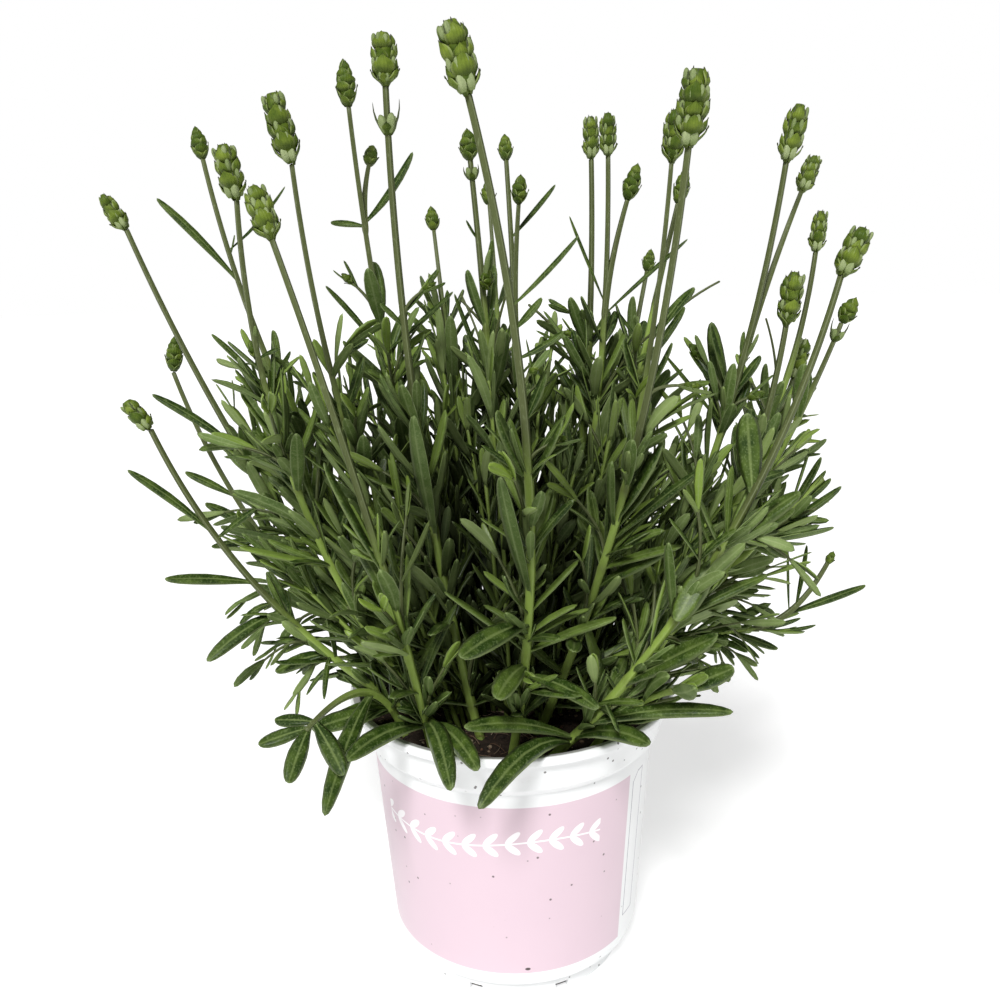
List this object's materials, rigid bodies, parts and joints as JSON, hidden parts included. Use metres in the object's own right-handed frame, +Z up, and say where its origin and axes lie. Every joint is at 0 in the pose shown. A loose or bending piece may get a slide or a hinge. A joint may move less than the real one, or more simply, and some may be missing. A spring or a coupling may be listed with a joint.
{
  "type": "potted lavender",
  "caption": "Young lavender plant in bud, with narrow leaves and slender stalks, in a thin round nursery pot filled with soil.",
  "frame": {"origin": "middle of the pot's flat foot, where it rests", "axes": "+Z up along the pot's axis, and the front of the plant faces -Y"},
  "size_m": [0.279, 0.203, 0.3223],
  "materials": {
    "pot": "satin",
    "soil": "matte",
    "foliage": "satin",
    "head": "matte"
  },
  "bodies": {
    "root": {"pot": "pot", "soil": "soil", "spike_01": "head", "spike_02": "head", "spike_03": "head", "spike_04": "head", "spike_05": "head", "spike_06": "head", "spike_07": "head", "spike_08": "head", "spike_09": "head", "spike_10": "head", "spike_11": "head", "spike_12": "head", "spike_13": "head", "spike_14": "head", "spike_15": "head", "spike_16": "head", "spike_17": "head", "spike_18": "head", "spike_19": "head", "spike_20": "head", "spike_21": "head", "spike_22": "head", "spike_23": "head", "spike_24": "head", "spike_25": "head", "spike_26": "head", "spike_27": "head", "spike_28": "head", "spike_29": "head", "spike_30": "head", "shoot_01": "foliage", "shoot_02": "foliage", "shoot_03": "foliage", "shoot_04": "foliage", "shoot_05": "foliage", "shoot_06": "foliage", "shoot_07": "foliage", "shoot_08": "foliage", "shoot_09": "foliage", "shoot_10": "foliage", "shoot_11": "foliage", "shoot_12": "foliage", "shoot_13": "foliage", "shoot_14": "foliage", "shoot_15": "foliage", "shoot_16": "foliage", "shoot_17": "foliage", "shoot_18": "foliage", "shoot_19": "foliage", "shoot_20": "foliage", "shoot_21": "foliage", "shoot_22": "foliage", "shoot_23": "foliage", "shoot_24": "foliage", "shoot_25": "foliage", "shoot_26": "foliage"}
  },
  "joints": []
}
